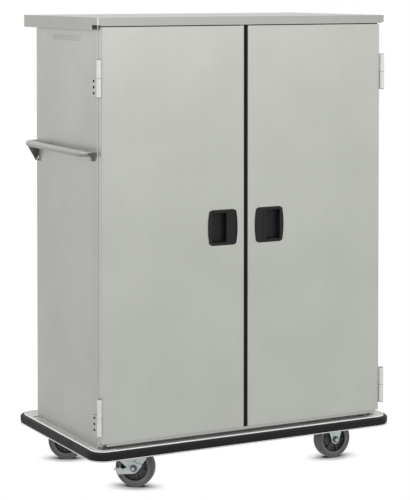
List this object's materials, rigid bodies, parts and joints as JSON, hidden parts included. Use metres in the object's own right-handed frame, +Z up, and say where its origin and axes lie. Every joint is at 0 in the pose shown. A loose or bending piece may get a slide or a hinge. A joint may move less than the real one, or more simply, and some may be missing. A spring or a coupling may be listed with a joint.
{
  "type": "enclosed meal tray cart",
  "caption": "Tall two-door stainless cabinet for meal trays on a bumpered base, with a side push handle, recessed door pulls, lift-off hinges and braked swivel casters.",
  "frame": {"origin": "on the floor, under the middle of the whole outline from the handle to the bumper", "axes": "+Z up, the doors face -Y, the push handle is at -X"},
  "size_m": [1.341, 0.779, 1.809],
  "materials": {
    "cabinet_steel": "brushed",
    "bright_steel": "brushed, brighter",
    "zinc": "zinc plated",
    "black_plastic": "fine grain",
    "black_rubber": "satin",
    "grey_tread": "satin",
    "dark_core": "moulded"
  },
  "bodies": {
    "cart": {"deck_pan": "cabinet_steel", "base_rails": "cabinet_steel", "bumper_channel": "bright_steel", "bumper_strip": "black_rubber", "corner_plates": "bright_steel", "plinth": "cabinet_steel", "door_frame": "cabinet_steel", "cabinet_floor": "cabinet_steel", "side_panel_left": "cabinet_steel", "side_panel_right": "cabinet_steel", "back_panel": "cabinet_steel", "top_panel": "cabinet_steel", "partition_left": "cabinet_steel", "partition_right": "cabinet_steel", "ledges_left_bay": "bright_steel", "ledges_center_bay": "bright_steel", "ledges_right_bay": "bright_steel", "handle_tube": "bright_steel", "handle_bracket_front": "cabinet_steel", "handle_bracket_rear": "cabinet_steel", "handle_bolts": "bright_steel", "hinge_leaves_left": "bright_steel", "hinge_leaves_right": "bright_steel", "hinge_pins": "zinc", "hinge_screws": "zinc", "door_catches": "black_plastic", "caster_bolts": "zinc", "swivel_plates": "zinc", "rigid_brackets": "zinc", "rigid_axles": "zinc"},
    "left_door": {"left_door_skin": "cabinet_steel", "left_door_liner": "bright_steel", "left_door_pull": "black_plastic", "left_door_gasket": "black_rubber", "left_door_strike": "zinc", "left_door_hinge_leaves": "bright_steel"},
    "right_door": {"right_door_skin": "cabinet_steel", "right_door_liner": "bright_steel", "right_door_pull": "black_plastic", "right_door_gasket": "black_rubber", "right_door_strike": "zinc", "right_door_hinge_leaves": "bright_steel"},
    "front_swivel": {"front_fork": "zinc", "front_axle": "zinc"},
    "front_swivel_wheel": {"front_wheel_core": "dark_core", "front_wheel_tread": "grey_tread"},
    "front_brake_lever": {"front_brake": "zinc"},
    "rear_swivel": {"rear_fork": "zinc", "rear_axle": "zinc"},
    "rear_swivel_wheel": {"rear_wheel_core": "dark_core", "rear_wheel_tread": "grey_tread"},
    "rear_brake_lever": {"rear_brake": "zinc"},
    "front_rigid_wheel": {"front_rigid_core": "dark_core", "front_rigid_tread": "grey_tread"},
    "rear_rigid_wheel": {"rear_rigid_core": "dark_core", "rear_rigid_tread": "grey_tread"}
  },
  "joints": [
    {"name": "left_door_swing", "type": "hinge", "parent": "cart", "child": "left_door", "pos_m": [-0.6205, -0.3525, 1], "axis": [0, 0, -1], "range_deg": [0, 240]},
    {"name": "right_door_swing", "type": "hinge", "parent": "cart", "child": "right_door", "pos_m": [0.6335, -0.3525, 1], "axis": [0, 0, 1], "range_deg": [0, 255]},
    {"name": "front_caster_swivel", "type": "hinge", "parent": "cart", "child": "front_swivel", "pos_m": [-0.4415, -0.2025, 0.17], "axis": [0, 0, 1], "continuous": true},
    {"name": "front_wheel_roll", "type": "hinge", "parent": "front_swivel", "child": "front_swivel_wheel", "pos_m": [-0.41086, -0.22821, 0.0762], "axis": [0.6428, 0.766, 0], "continuous": true},
    {"name": "front_brake_press", "type": "hinge", "parent": "front_swivel", "child": "front_brake_lever", "pos_m": [-0.41086, -0.22821, 0.0762], "axis": [-0.6428, -0.766, 0], "range_deg": [0, 20]},
    {"name": "rear_caster_swivel", "type": "hinge", "parent": "cart", "child": "rear_swivel", "pos_m": [-0.4415, 0.2575, 0.17], "axis": [0, 0, 1], "continuous": true},
    {"name": "rear_wheel_roll", "type": "hinge", "parent": "rear_swivel", "child": "rear_swivel_wheel", "pos_m": [-0.47614, 0.2775, 0.0762], "axis": [-0.5, -0.866, 0], "continuous": true},
    {"name": "rear_brake_press", "type": "hinge", "parent": "rear_swivel", "child": "rear_brake_lever", "pos_m": [-0.47614, 0.2775, 0.0762], "axis": [0.5, 0.866, 0], "range_deg": [0, 20]},
    {"name": "front_rigid_roll", "type": "hinge", "parent": "cart", "child": "front_rigid_wheel", "pos_m": [0.4915, -0.2025, 0.0762], "axis": [0, 1, 0], "continuous": true},
    {"name": "rear_rigid_roll", "type": "hinge", "parent": "cart", "child": "rear_rigid_wheel", "pos_m": [0.4915, 0.2575, 0.0762], "axis": [0, 1, 0], "continuous": true}
  ]
}
